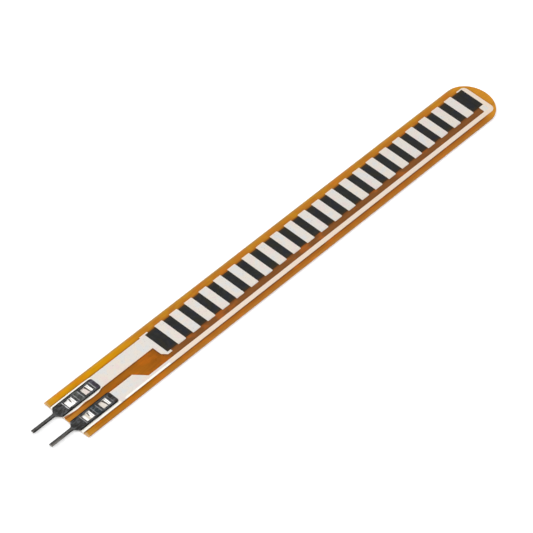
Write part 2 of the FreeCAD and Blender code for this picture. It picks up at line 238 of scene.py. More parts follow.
class Bench:
    """Lays the nodes of a material, or of the world, in a few plain steps."""

    def __init__(self, tree: bpy.types.NodeTree) -> None:
        """Clears the tree that it works on."""
        self.tree = tree
        self.tree.nodes.clear()

    def node(self, kind: str, **settings: object) -> bpy.types.Node:
        """Adds a node.

        Args:
            kind: Blender's name for the kind of node.
            **settings: Properties to set on it.

        Returns:
            The node.
        """
        made = self.tree.nodes.new(kind)
        for name, value in settings.items():
            setattr(made, name, value)
        return made

    def feed(self, socket: Socket, value: Number | Colour | Sequence[float]) -> None:
        """Joins an input to another node, or sets its plain value.

        Args:
            socket: The input to feed.
            value: An output of another node, a number, a vector or a colour.
        """
        if isinstance(value, bpy.types.NodeSocket):
            self.tree.links.new(value, socket)
        elif socket.type == "RGBA":
            socket.default_value = (*value, 1.0)
        else:
            socket.default_value = value

    def fill(self, node: bpy.types.Node, **sockets: Number | Colour) -> bpy.types.Node:
        """Feeds inputs of a node by their names.

        Args:
            node: The node.
            **sockets: What goes into each input, with underscores for the spaces in its name.

        Returns:
            The same node.
        """
        for name, value in sockets.items():
            self.feed(node.inputs[name.replace("_", " ")], value)
        return node

    def parts(self, vector: Socket) -> tuple[Socket, Socket, Socket]:
        """Splits a vector.

        Args:
            vector: The vector.

        Returns:
            Its X, Y and Z.
        """
        split = self.node("ShaderNodeSeparateXYZ")
        self.feed(split.inputs[0], vector)
        return split.outputs[0], split.outputs[1], split.outputs[2]

    def stretched(self, vector: Socket, by: Sequence[float]) -> Socket:
        """Multiplies each part of a vector.

        Args:
            vector: The vector.
            by: One factor for each axis.

        Returns:
            The product.
        """
        product = self.node("ShaderNodeVectorMath", operation="MULTIPLY")
        self.feed(product.inputs[0], vector)
        self.feed(product.inputs[1], by)
        return product.outputs[0]

    def step(self, step: Step, *terms: Number) -> Socket:
        """Takes one step of arithmetic.

        Args:
            step: The step.
            *terms: What goes in.

        Returns:
            The result.
        """
        node = self.node("ShaderNodeMath", operation=step.value)
        for socket, term in zip(node.inputs, terms):
            self.feed(socket, term)
        return node.outputs[0]

    def plus(self, first: Number, second: Number) -> Socket:
        """The sum of two numbers."""
        return self.step(Step.ADD, first, second)

    def minus(self, first: Number, second: Number) -> Socket:
        """The first number less the second."""
        return self.step(Step.SUBTRACT, first, second)

    def rest(self, share: Socket) -> Socket:
        """What a share leaves of 1."""
        return self.minus(1.0, share)

    def size(self, value: Socket) -> Socket:
        """A number without its sign."""
        return self.step(Step.ABSOLUTE, value)

    def times(self, *terms: Number) -> Socket:
        """The product of two or more numbers."""
        return reduce(partial(self.step, Step.MULTIPLY), terms)

    def largest(self, *terms: Number) -> Socket:
        """The largest of two or more numbers."""
        return reduce(partial(self.step, Step.MAXIMUM), terms)

    def between(self, share: Socket, none: float, full: float) -> Socket:
        """A number that moves with a share.

        Args:
            share: The share.
            none: The number at a share of 0.
            full: The number at a share of 1.

        Returns:
            The number.
        """
        return self.step(Step.MULTIPLY_ADD, share, full - none, none)

    def ramp(self, value: Socket, reach: Span, heights: Span) -> Socket:
        """A soft step from one height to another.

        Args:
            value: What is measured.
            reach: Where the step starts and where it ends, the lower place first.
            heights: Its height before and after.

        Returns:
            The height.
        """
        step = self.node("ShaderNodeMapRange", interpolation_type="SMOOTHSTEP")
        self.fill(step, Value=value, From_Min=reach[0], From_Max=reach[1])
        self.fill(step, To_Min=heights[0], To_Max=heights[1])
        return step.outputs[0]

    def past(self, value: Socket, start: float, end: float) -> Socket:
        """A soft step: 0 before start, 1 past end.

        Args:
            value: What is measured.
            start: Where the step leaves 0.
            end: Where it reaches 1; below start for a falling step.

        Returns:
            The height of the step.
        """
        if start <= end:
            return self.ramp(value, (start, end), (0.0, 1.0))
        return self.ramp(value, (end, start), (1.0, 0.0))

    def within(self, value: Socket, low: float, high: float, soft: float) -> Socket:
        """1 between two places and 0 outside them.

        Args:
            value: What is measured.
            low: The lower place.
            high: The upper place.
            soft: Width of the step at each.

        Returns:
            The mask.
        """
        half = soft / 2
        rise = self.past(value, low - half, low + half)
        return self.times(rise, self.past(value, high + half, high - half))


class MaterialBench(Bench):
    """Puts one material together."""

    def __init__(self, name: str) -> None:
        """Starts an empty material.

        Args:
            name: The material's name.
        """
        self.material = bpy.data.materials.new(name)
        self.material.use_nodes = True
        super().__init__(self.material.node_tree)

    def close(self, shader: bpy.types.Node) -> bpy.types.Material:
        """Makes a shader the material's surface.

        Args:
            shader: The shader's node.

        Returns:
            The finished material.
        """
        self.fill(self.node("ShaderNodeOutputMaterial"), Surface=shader.outputs[0])
        return self.material


class FinishBench(MaterialBench):
    """Puts one finish of the sensor together, and knows where its surface points lie."""

    def __init__(self, name: str, layout: Layout) -> None:
        """Starts a finish.

        Args:
            name: The material's name.
            layout: Where the inks and the terminals lie.
        """
        super().__init__(name)
        self.layout = layout
        spot = self.node("ShaderNodeTexCoord").outputs
        self.place = self.stretched(spot["Object"], (1 / MM, 1 / MM, 1 / MM))
        self.x, self.y, self.z = self.parts(self.place)
        self.up = self.parts(spot["Normal"])[2]

    def along_window(self) -> Socket:
        """Measures along the film from the middle of the nearest window.

        Returns:
            The distance, positive towards the tip.
        """
        windows = self.layout.windows
        wrapped = self.step(Step.WRAP, self.x, windows.start + windows.pitch, windows.start)
        return self.minus(wrapped, windows.first_middle)

    def across_terminal(self) -> Socket:
        """Distance across the film from the middle of the terminal."""
        middle = self.times(self.step(Step.SIGN, self.y), self.layout.windows.terminal_y)
        return self.minus(self.y, middle)

    def in_windows(self, past_edge: float, soft: float) -> Socket:
        """1 on the strip that the windows of each terminal share, 0 beside it.

        Args:
            past_edge: How far past the windows' edges the mask has fallen to 0.
            soft: Width of the step there.

        Returns:
            The mask.
        """
        windows = self.layout.windows
        edge, gap = windows.width / 2 + past_edge, windows.row_gap
        across = self.past(self.size(self.across_terminal()), edge, edge - soft)
        row = self.within(self.x, windows.start + gap, windows.end - gap, windows.row_soft)
        return self.times(across, row)

    def on_upper(self) -> Socket:
        """1 on the upper terminal's side of the film and 0 on the lower one's."""
        soft = self.layout.windows.side_soft
        return self.past(self.y, -soft, soft)

    def on_lower(self) -> Socket:
        """1 on the lower terminal's side of the film and 0 on the upper one's."""
        soft = self.layout.windows.side_soft
        return self.past(self.y, soft, -soft)

    def noise(self, grain: Grain) -> Socket:
        """Cloudy noise over the surface.

        Args:
            grain: Its size and character.

        Returns:
            The noise, from 0 to 1 round a middle of 0.5.
        """
        cloud = self.fill(
            self.node("ShaderNodeTexNoise"),
            Vector=self.stretched(self.place, (grain.drawn, 1.0, 1.0)),
            Scale=1 / grain.size,
            Detail=grain.detail,
            Roughness=grain.roughness,
            Distortion=grain.distortion,
        )
        return cloud.outputs["Fac"]

    def specks(self, spacing: float, radius: float, core: float = 0.6) -> Socket:
        """Round specks scattered over the surface.

        Args:
            spacing: Rough distance between them.
            radius: Their radius, as a share of the spacing.
            core: The share of the radius within which they are full.

        Returns:
            1 inside a speck and 0 between them.
        """
        cells = self.node("ShaderNodeTexVoronoi")
        self.fill(cells, Vector=self.place, Scale=1 / spacing)
        return self.past(cells.outputs["Distance"], radius, radius * core)

    def blend(
        self, share: Number, first: Colour | Socket, second: Colour | Socket, **settings: object
    ) -> Socket:
        """Mixes two colours.

        Args:
            share: How much of the second shows.
            first: The first colour.
            second: The second colour.
            **settings: Further properties of the mixing node.

        Returns:
            The mixture.
        """
        mix = self.node("ShaderNodeMix", data_type="RGBA", **settings)
        self.feed(mix.inputs["Factor"], share)
        self.feed(mix.inputs[MIX_FIRST], first)
        self.feed(mix.inputs[MIX_SECOND], second)
        return mix.outputs[MIX_RESULT]

    def layered(
        self, colour: Colour | Socket, *layers: tuple[Socket, Colour | Socket]
    ) -> Socket:
        """Lays colours over one another.

        Args:
            colour: The undermost one.
            *layers: How much shows of each further one, and its tone, from the lowest up.

        Returns:
            What shows in the end.
        """
        for share, tone in layers:
            colour = self.blend(share, colour, tone)
        return colour

    def tinted(
        self, colour: Colour | Socket, tint: Tint, measure: Socket, *masks: Socket
    ) -> Socket:
        """Lays a tint over a colour.

        Args:
            colour: What lies under it.
            tint: The tint.
            measure: What its reach is measured on.
            *masks: What else it is held within.

        Returns:
            The tinted colour.
        """
        share = self.times(self.past(measure, *tint.reach), tint.share, *masks)
        return self.blend(share, colour, tint.tone)

    def shaded(self, colour: Socket, shade: Socket) -> Socket:
        """Multiplies a colour.

        Args:
            colour: The colour.
            shade: What each of its channels is multiplied by.

        Returns:
            The lighter or darker colour.
        """
        grey = self.node("ShaderNodeCombineColor")
        for socket in grey.inputs:
            self.feed(socket, shade)
        return self.blend(1.0, colour, grey.outputs[0], blend_type="MULTIPLY")

    def relief(self, height: Socket, depth: float, under: Socket | None = None) -> Socket:
        """Surface relief for the shader's normal.

        Args:
            height: The relief's height, from 0 to 1.
            depth: What a height of 1 stands for, in millimetres.
            under: Relief that this one lies on.

        Returns:
            The bent normal.
        """
        bump = self.fill(self.node("ShaderNodeBump"), Height=height, Distance=depth * MM)
        if under is not None:
            self.fill(bump, Normal=under)
        return bump.outputs[0]

    def surface(self, **sockets: Number | Colour) -> bpy.types.Material:
        """Closes the material with one principled shader.

        Args:
            **sockets: The shader's inputs, with underscores for spaces.

        Returns:
            The finished material.
        """
        return self.close(self.fill(self.node("ShaderNodeBsdfPrincipled"), **sockets))


@dataclass(frozen=True)
class AmberFilm:
    """Glossy amber film: painted shade where ink hems it in, painted shadow lines along the ink's
    edges, browner on its cut edges.
    """

    # The open film round the print
    open_tone: Colour = seen_as(186, 117, 24)
    golden: Tint = Tint(seen_as(211, 145, 0), (-17.0, -25.0))
    lower_tone: Colour = seen_as(174, 100, 16)
    lower_end: Tint = Tint(seen_as(182, 111, 12), (-8.0, -28.0))
    lower_rim: Tint = Tint(seen_as(170, 116, 40), (0.42, 0.08), 0.7)
    upper_to_lower: Span = (0.0, -1.0)
    tip: Tint = Tint(seen_as(204, 136, 32), (-2.5, 0.3))
    # Painted shade along the film's upper cut edge
    upper_edge_shade: Tint = Tint(seen_as(168, 140, 84), (-0.26, -0.06), 0.75)
    ragged_grain: Grain = Grain(0.35)
    ragged_swing: Span = (-0.2, 0.2)
    end_margin: Tint = Tint(seen_as(222, 168, 60), (2.0, 0.7), 0.28)
    fringe: Tint = Tint(seen_as(222, 200, 160), (0.34, 0.0), 0.55)

    # Painted shade on the film between the inks, deepest in the narrow gap, easing towards the
    # square end
    enclosed_shade_tone: Colour = seen_as(155, 87, 4)
    enclosed_soft: float = 0.1
    enclosed_end: Span = (0.2, -0.2)
    narrow: Tint = Tint(seen_as(128, 77, 31), (-1.2, 1.0))
    end_tone: Colour = seen_as(196, 128, 42)
    end_reach: Span = (5.0, 1.0)
    near_end_reach: Span = (-20.0, -26.0)
    near_end_share: float = 0.18

    # Painted shadow: thin dark lines along the silver's edges, with a haze round them
    edge_shadow_tone: Colour = seen_as(98, 54, 14)
    edge_shadow_share: float = 0.8
    edge_shadow_rise: Span = (-0.04, 0.0)
    edge_shadow_fall: Span = (0.24, 0.06)
    haze_fall: Span = (0.75, 0.06)
    haze_share: float = 0.25
    weaker: float = 0.8
    faint: float = 0.3
    handover: float = 0.05
    band_fade: float = 0.4
    block_side_gap: float = 0.5
    block_side_soft: float = 0.1
    before_slope: Span = (0.0, -0.2)
    past_slope: Span = (1.0, 1.4)
    before_corner: Span = (-0.8, -3.0)
    end_side_gap: float = 0.6
    end_side_soft: float = 0.4

    # The back, with the print showing through
    back_tone: Colour = seen_as(186, 112, 26)
    ghost_silver_tone: Colour = seen_as(206, 138, 52)
    ghost_silver_share: float = 0.55
    ghost_carbon_tone: Colour = seen_as(92, 54, 22)
    ghost_carbon_share: float = 0.6
    ghost_soft: float = 0.16
    ghost_lead_y: float = 0.5
    ghost_lead_fade: float = 0.2

    # The cut edges
    cut_tone: Colour = seen_as(188, 116, 34)
    lamination_tone: Colour = seen_as(104, 56, 16)
    lamination_share: float = 0.7
    lamination_half: float = 0.012
    lamination_soft: float = 0.014
    end_cut_tone: Colour = seen_as(226, 172, 84)
    end_cut_reach: Span = (0.05, 0.01)
    smeared_tone: Colour = seen_as(244, 238, 226)
    smeared_soft: float = 0.05

    # Changes of hue, grain and gloss
    face_turn: Span = (0.3, 0.7)
    hue_grain: Grain = Grain(1.3, detail=2.0, drawn=0.55)
    orange: Tint = Tint(seen_as(208, 106, 12), (0.54, 0.66), 0.3)
    lemon: Tint = Tint(seen_as(198, 146, 10), (0.48, 0.34), 0.32)
    lemon_margin: Span = (2.2, 2.4)
    roll_grain: Grain = Grain(0.22, detail=4.0, drawn=0.10)
    roll_shade: Span = (0.69, 1.13)
    roll_depth: float = 0.003
    mottle_grain: Grain = Grain(2.6)
    mottle_shade: Span = (0.94, 1.24)
    peel_grain: Grain = Grain(0.9, detail=2.0)
    peel_depth: float = 0.010
    roughness: Span = (0.24, 0.36)
    sheen_levels: Span = (0.24, 0.10)
    gloss_coat: float = 0.09
    coat_roughness: float = 0.12

    def margin(self, bench: FinishBench) -> Socket:
        """The colour of the open film round the print.

        Args:
            bench: The material's bench.

        Returns:
            The colour.
        """
        x, y, film = bench.x, bench.y, bench.layout.film
        upper = bench.tinted(self.open_tone, self.golden, x)
        lower = bench.tinted(self.lower_tone, self.lower_end, x)
        lower = bench.tinted(lower, self.lower_rim, bench.minus(y, film.low.y))
        colour = bench.blend(bench.past(y, *self.upper_to_lower), upper, lower)
        colour = bench.tinted(colour, self.tip, bench.minus(x, bench.layout.band.high.x))
        # Painted shade along the upper long edge
        colour = bench.tinted(colour, self.upper_edge_shade, bench.minus(y, film.high.y))
        ragged = bench.between(bench.noise(self.ragged_grain), *self.ragged_swing)
        from_end = bench.plus(bench.minus(x, film.low.x), ragged)
        colour = bench.tinted(colour, self.end_margin, from_end)
        return bench.tinted(colour, self.fringe, from_end)

    def printed_side(self, bench: FinishBench) -> Socket:
        """The colour of what shows round and between the inks, with painted shade between them
        and painted shadow lines along their edges.

        Args:
            bench: The material's bench.

        Returns:
            The colour.
        """
        x, y, film, band = bench.x, bench.y, bench.layout.film, bench.layout.band
        enclosed = bench.times(
            bench.within(y, bench.layout.run[1], band.high.y, self.enclosed_soft),
            bench.past(bench.minus(x, band.high.x), *self.enclosed_end),
        )
        from_band = bench.minus(x, band.low.x)
        # Painted shade on the film between the inks, darkest in the narrow gap, letting up
        # towards the square end
        inner = bench.tinted(self.enclosed_shade_tone, self.narrow, from_band, enclosed)
        at_end = bench.past(bench.minus(x, film.low.x), *self.end_reach)
        near_end = bench.times(bench.past(x, *self.near_end_reach), self.near_end_share)
        inner = bench.blend(bench.largest(at_end, near_end), inner, self.end_tone)
        faces = bench.blend(enclosed, self.margin(bench), inner)
        # Painted shadow lines along the ink's edges
        lines = bench.largest(*self.contact_lines(bench), *self.return_lines(bench))
        return bench.blend(bench.times(lines, self.edge_shadow_share), faces, self.edge_shadow_tone)

    def beside(self, bench: FinishBench, place: Socket, edge: Number, side: Side) -> Socket:
        """Painted shadow: a thin dark line along one edge of the ink, with a haze round it.

        Args:
            bench: The material's bench.
            place: The surface point's place, square to the edge.
            edge: Where the edge lies.
            side: Where the bare film lies.

        Returns:
            1 by the edge, falling to 0 where the haze ends.
        """
        off = bench.times(bench.minus(place, edge), side.value)
        line = bench.past(off, *self.edge_shadow_fall)
        haze = bench.times(bench.past(off, *self.haze_fall), self.haze_share)
        return bench.times(bench.past(off, *self.edge_shadow_rise), bench.largest(line, haze))

    def contact_lines(self, bench: FinishBench) -> tuple[Socket, ...]:
        """The painted shadow lines by the contact lead, its block and the band's long edges.

        Args:
            bench: The material's bench.

        Returns:
            One mask for each line.
        """
        x, y, leads, band = bench.x, bench.y, bench.layout.leads, bench.layout.band
        block_x = bench.layout.block_x
        on_lead = bench.past(x, block_x + self.handover, block_x - self.handover)
        on_band = bench.times(
            bench.past(x, block_x - self.handover, block_x + self.handover),
            bench.past(x, band.high.x, band.high.x - self.band_fade),
        )
        crimped = bench.past(x, leads.crimp_end_x + leads.crimp_slope, leads.crimp_end_x)
        inner = bench.between(crimped, leads.contact_inner_y, leads.crimp_inner_y)
        outer = bench.between(crimped, leads.contact_outer_y, leads.crimp_outer_y)
        block_low = bench.layout.contact.low.y + self.block_side_gap
        block_side = bench.within(y, block_low, leads.contact_inner_y, self.block_side_soft)
        return (
            bench.times(self.beside(bench, y, inner, Side.BEFORE), on_lead),
            bench.times(self.beside(bench, y, outer, Side.BEYOND), on_lead, self.weaker),
            bench.times(self.beside(bench, x, block_x, Side.BEFORE), block_side),
            bench.times(self.beside(bench, y, band.high.y, Side.BEYOND), on_band, self.weaker),
            bench.times(self.beside(bench, y, band.low.y, Side.BEFORE), on_band, self.weaker),
        )

    def return_lines(self, bench: FinishBench) -> tuple[Socket, ...]:
        """The painted shadow lines by the return lead, its narrow run and its end pad.

        Args:
            bench: The material's bench.

        Returns:
            One mask for each line.
        """
        x, y, layout = bench.x, bench.y, bench.layout
        run_low, run_high = layout.run
        end_x = layout.trace.high.x
        from_slope = bench.minus(x, layout.leads.return_slope_x)
        before_slope = bench.past(from_slope, *self.before_slope)
        past_slope = bench.past(from_slope, *self.past_slope)
        before_corner = bench.past(bench.minus(x, end_x), *self.before_corner)
        end_low = run_low + self.end_side_gap
        end_side = bench.within(y, end_low, layout.band.high.y, self.end_side_soft)
        inner_y = layout.leads.return_inner_y
        return (
            bench.times(self.beside(bench, y, inner_y, Side.BEYOND), before_slope),
            bench.times(self.beside(bench, y, run_high, Side.BEYOND), past_slope, self.faint),
            bench.times(self.beside(bench, y, run_low, Side.BEFORE), before_corner),
            bench.times(self.beside(bench, x, end_x, Side.BEYOND), end_side, self.faint),
        )

    def bare_side(self, bench: FinishBench) -> Socket:
        """The colour of the back, with the print showing faintly through the film.

        Args:
            bench: The material's bench.

        Returns:
            The colour.
        """
        x, y, soft = bench.x, bench.y, self.ghost_soft
        band, trace = bench.layout.band, bench.layout.trace
        strip = bench.times(
            bench.within(y, band.low.y, band.high.y, soft),
            bench.within(x, band.low.x, band.high.x, soft),
        )
        return_run = bench.times(
            bench.within(y, *bench.layout.run, soft),
            bench.within(x, trace.low.x, trace.high.x, soft),
        )
        contact_lead = bench.times(
            bench.past(x, band.low.x, band.low.x - self.ghost_lead_fade),
            bench.within(y, self.ghost_lead_y, bench.layout.contact.high.y, soft),
        )
        silver = bench.times(bench.largest(return_run, contact_lead), self.ghost_silver_share)
        carbon = bench.times(strip, self.ghost_carbon_share)
        return bench.layered(
            self.back_tone, (silver, self.ghost_silver_tone), (carbon, self.ghost_carbon_tone)
        )

    def cut_side(self, bench: FinishBench) -> Socket:
        """The colour of the cut edges: a seam all round, and ink smeared over the square end.

        Args:
            bench: The material's bench.

        Returns:
            The colour.
        """
        film, leads, half = bench.layout.film, bench.layout.leads, self.lamination_half
        seam_z = film.middle.z
        seam = bench.within(bench.z, seam_z - half, seam_z + half, self.lamination_soft)
        seam = bench.times(seam, self.lamination_share)
        cut = bench.blend(seam, self.cut_tone, self.lamination_tone)
        low_y, soft = bench.layout.trace.low.y, self.smeared_soft
        under_leads = bench.largest(
            bench.within(bench.y, leads.crimp_inner_y, leads.crimp_outer_y, soft),
            bench.within(bench.y, low_y, leads.return_inner_y, soft),
        )
        end_cut = bench.blend(under_leads, self.end_cut_tone, self.smeared_tone)
        at_end = bench.past(bench.minus(bench.x, film.low.x), *self.end_cut_reach)
        return bench.blend(at_end, cut, end_cut)

    def build(self, layout: Layout) -> bpy.types.Material:
        """Makes the film's material.

        Args:
            layout: Where the inks lie.

        Returns:
            The material.
        """
        bench = FinishBench("amber_film", layout)
        on_top = bench.past(bench.up, *self.face_turn)
        on_face = bench.past(bench.size(bench.up), *self.face_turn)
        hue = bench.noise(self.hue_grain)
        in_margin = bench.past(bench.y, *self.lemon_margin)
        faces = bench.blend(on_top, self.bare_side(bench), self.printed_side(bench))
        faces = bench.tinted(faces, self.orange, hue)
        faces = bench.tinted(faces, self.lemon, hue, in_margin)
        colour = bench.blend(on_face, self.cut_side(bench), faces)
        streaks, mottle = bench.noise(self.roll_grain), bench.noise(self.mottle_grain)
        shade = bench.between(streaks, *self.roll_shade)
        shade = bench.times(shade, bench.between(mottle, *self.mottle_shade))
        relief = bench.relief(bench.noise(self.peel_grain), self.peel_depth)
        relief = bench.relief(streaks, self.roll_depth, relief)
        at_end = bench.past(bench.x, *self.golden.reach)
        return bench.surface(
            Base_Color=bench.shaded(colour, shade),
            Roughness=bench.between(mottle, *self.roughness),
            Specular_IOR_Level=bench.between(at_end, *self.sheen_levels),
            Coat_Weight=self.gloss_coat,
            Coat_Roughness=self.coat_roughness,
            Normal=relief,
        )


@dataclass(frozen=True)
class WindowTear:
    """The ragged hole where each far tine pierced the ink in its window, darkened as painted
    shadow, with a painted highlight beyond it.

    The lean and the half width each give the last window's number first, and then the first's.
    """

    past_middle: float = 0.235
    first_end: Span = (0.9, 0.7)
    lean: Span = (0.12, -0.18)
    half_width: Span = (0.12, 0.07)
    widening: float = 0.10
    ragged_grain: Grain = Grain(0.16)
    ragged_swing: Span = (-0.08, 0.08)
    edge: Span = (1.2, 0.5)
    vanishing: Span = (0.035, 0.075)
    whole_half: Span = (0.0, -0.15)
    past_window: float = 0.03
    window_soft: float = 0.06
    highlight_start: Span = (0.02, 0.10)

    def masks(self, bench: FinishBench) -> tuple[Socket, Socket]:
        """Draws the tears, darkened as painted shadow, and the painted highlights beyond them.

        Args:
            bench: The material's bench.

        Returns:
            The tear, darkened as painted shadow, and a painted highlight over the ink beyond it,
            standing in for the far tine's lit face.
        """
        across = bench.across_terminal()
        from_first = bench.minus(bench.x, bench.layout.windows.first_middle)
        first = bench.past(from_first, *self.first_end)
        ragged = bench.between(bench.noise(self.ragged_grain), *self.ragged_swing)
        lean = bench.times(across, bench.between(first, *self.lean))
        along = bench.plus(bench.plus(bench.along_window(), ragged), lean)
        off_line = bench.minus(along, self.past_middle)
        half = bench.plus(
            bench.times(across, self.widening), bench.between(first, *self.half_width)
        )
        thick = bench.step(Step.DIVIDE, bench.size(off_line), half)
        whole = bench.times(first, bench.past(across, *self.whole_half))
        inside = bench.in_windows(self.past_window, self.window_soft)
        # The tear, darkened as painted shadow
        shadowed_tear = bench.times(
            bench.past(thick, *self.edge),
            bench.past(half, *self.vanishing),
            bench.rest(whole),
            inside,
        )
        # A painted highlight over the ink beyond the tear, standing in for the far tine's lit
        # face
        beyond = bench.largest(first, bench.past(off_line, *self.highlight_start))
        return shadowed_tear, bench.times(beyond, inside)


@dataclass(frozen=True)
class SilverInk:
    """Printed silver: pale and matt, with flake grain and slow changes of tint, painted
    highlights, and tears darkened as painted shadow.
    """

    # Slow changes of tint
    tone: Colour = seen_as(240, 234, 225)
    cool_tone: Colour = seen_as(236, 232, 227)
    warm_tone: Colour = seen_as(245, 232, 216)
    cloud_grain: Grain = Grain(1.7, detail=2.0)
    cloud_turn: Span = (0.38, 0.62)
    cloud_share: float = 0.55
    hue_grain: Grain = Grain(0.9, detail=1.0)
    pink: Tint = Tint(seen_as(244, 224, 222), (0.54, 0.68), 0.55)
    blue: Tint = Tint(seen_as(226, 232, 238), (0.46, 0.32), 0.45)

    # Thin ink
    thin_tone: Colour = seen_as(255, 231, 207)
    thin_share: float = 0.7
    thin_edge_share: float = 0.85
    thin_edge_in: float = 0.14
    thin_edge_out: float = 0.1
    thin_edge_soft: float = 0.12
    thin_upper: float = 0.3
    run_start: Span = (-1.5, -1.1)
    run_soft: float = 0.1
    end_pad_start: Span = (-0.1, 0.1)

    # Painted highlights on the ink: strips beside the plates, lifting their shade, and a glint
    # along the return lead's outer edge
    strip_highlight_tone: Colour = seen_as(255, 252, 243)
    plate_gap: Span = (-0.04, 0.0)
    plate_end: Span = (0.15, -0.05)
    rim_width: float = 0.24
    rim_soft: float = 0.1
    rim_reach: Span = (-27.7, -20.5)
    rim_end_soft: float = 0.3

    # The waved edge of the contact lead
    frayed_tone: Colour = seen_as(172, 102, 30)
    wave_depth: float = 0.05
    end_depth: float = 0.14
    end_reach: Span = (1.0, 0.0)
    fray_edge: Span = (0.03, -0.03)
    fray_side: Span = (0.0, 0.1)
    fray_end: Span = (0.3, -0.3)

    # Pits and hollows between the flakes
    pit_tone: Colour = seen_as(198, 190, 184)
    pit_spacing: float = 0.7
    pit_radius: float = 0.09
    pit_share: float = 0.7
    hollow_turn: Span = (0.42, 0.30)
    hollow_share: float = 0.5

    # Marks of the tines in the windows: a tear darkened as painted shadow, and a painted
    # highlight beyond it, dimmed in one window
    tear: WindowTear = WindowTear()
    tear_shadow_tone: Colour = seen_as(74, 64, 56)
    highlight_tone: Colour = seen_as(255, 254, 250)
    dimmed_highlight_tone: Colour = seen_as(218, 210, 194)
    dimmed_reach: Span = (-0.16, 0.20)
    dimmed_soft: float = 0.2

    # Grain and gloss
    flake_grain: Grain = Grain(0.14, roughness=0.6)
    flake_depth: float = 0.004
    pulled_grain: Grain = Grain(0.3, detail=2.0, drawn=0.12)
    pulled_depth: float = 0.006
    metal: float = 0.3
    roughness: Span = (0.30, 0.54)

    def strip_highlights(self, bench: FinishBench) -> Socket:
        """Where highlights are painted on the ink.

        Args:
            bench: The material's bench.

        Returns:
            1 beside the plates and along the outer edge of the return lead, 0 elsewhere.
        """
        layout = bench.layout
        half_plate = layout.terminal.high.y - layout.windows.terminal_y
        off_plate = bench.minus(bench.size(bench.across_terminal()), half_plate)
        from_end = bench.minus(bench.x, layout.terminal.high.x)
        beside = bench.times(
            bench.past(off_plate, *self.plate_gap), bench.past(from_end, *self.plate_end)
        )
        low = layout.trace.low.y
        rim = bench.times(
            bench.within(bench.y, low, low + self.rim_width, self.rim_soft),
            bench.within(bench.x, *self.rim_reach, self.rim_end_soft),
        )
        return bench.largest(beside, rim)

    def frayed(self, bench: FinishBench) -> Socket:
        """Where the tines, pushed through the film, left the inner edge of the contact lead
        waved.

        Args:
            bench: The material's bench.

        Returns:
            1 where the amber shows at the edge, between the tines and at the square end.
        """
        leads, windows = bench.layout.leads, bench.layout.windows
        turns = bench.times(bench.minus(bench.x, windows.first_middle), math.tau / windows.pitch)
        wave = bench.between(bench.step(Step.COSINE, turns), self.wave_depth, 0.0)
        from_end = bench.minus(bench.x, bench.layout.film.low.x)
        at_end = bench.times(bench.past(from_end, *self.end_reach), self.end_depth)
        off = bench.minus(bench.minus(bench.y, leads.crimp_inner_y), bench.plus(at_end, wave))
        from_crimp = bench.minus(bench.x, leads.crimp_end_x)
        return bench.times(
            bench.past(off, *self.fray_edge),
            bench.past(bench.y, *self.fray_side),
            bench.past(from_crimp, *self.fray_end),
        )

    def thin(self, bench: FinishBench) -> Socket:
        """Where the ink was printed thin, so that the amber warms it.

        Args:
            bench: The material's bench.

        Returns:
            1 on the narrow run, the end pad and the long edges of the leads, 0 elsewhere.
        """
        x, y, layout = bench.x, bench.y, bench.layout
        contact, leads = layout.contact, layout.leads
        inward, outward, soft = self.thin_edge_in, self.thin_edge_out, self.thin_edge_soft
        on_run = bench.past(bench.minus(x, contact.high.x), *self.run_start)
        run = bench.times(bench.within(y, *layout.run, self.run_soft), on_run)
        end_pad = bench.past(bench.minus(x, layout.band.high.x), *self.end_pad_start)
        return_y, contact_y = leads.return_inner_y, leads.contact_inner_y
        inner_edges = bench.largest(
            bench.within(y, return_y - inward, return_y + outward, soft),
            bench.within(y, contact_y - outward, contact_y + inward, soft),
        )
        inner_edges = bench.times(inner_edges, bench.rest(on_run))
        upper_edge = bench.past(y, contact.high.y - self.thin_upper, contact.high.y)
        edges = bench.times(bench.largest(inner_edges, upper_edge), self.thin_edge_share)
        return bench.largest(run, end_pad, edges)

    def dimmed_highlight(self, bench: FinishBench) -> Socket:
        """Where the painted highlight in the lower terminal's first window is dimmed to a duller
        ink tone.

        Args:
            bench: The material's bench.

        Returns:
            1 over the middle of that window, 0 elsewhere.
        """
        from_first = bench.minus(bench.x, bench.layout.windows.first_middle)
        middle = bench.within(from_first, *self.dimmed_reach, self.dimmed_soft)
        return bench.times(middle, bench.on_lower())

    def build(self, layout: Layout) -> bpy.types.Material:
        """Makes the silver ink's material.

        Args:
            layout: Where the inks and the terminals lie.

        Returns:
            The material.
        """
        bench = FinishBench("silver_ink", layout)
        hue, flakes = bench.noise(self.hue_grain), bench.noise(self.flake_grain)
        clouded = bench.past(bench.noise(self.cloud_grain), *self.cloud_turn)
        clouded = bench.blend(clouded, self.cool_tone, self.warm_tone)
        colour = bench.blend(self.cloud_share, self.tone, clouded)
        colour = bench.tinted(colour, self.pink, hue)
        colour = bench.tinted(colour, self.blue, hue)
        pits = bench.times(bench.specks(self.pit_spacing, self.pit_radius), self.pit_share)
        hollows = bench.times(bench.past(flakes, *self.hollow_turn), self.hollow_share)
        shadowed_tear, painted_highlight = self.tear.masks(bench)
        strip_highlights, frayed = self.strip_highlights(bench), self.frayed(bench)
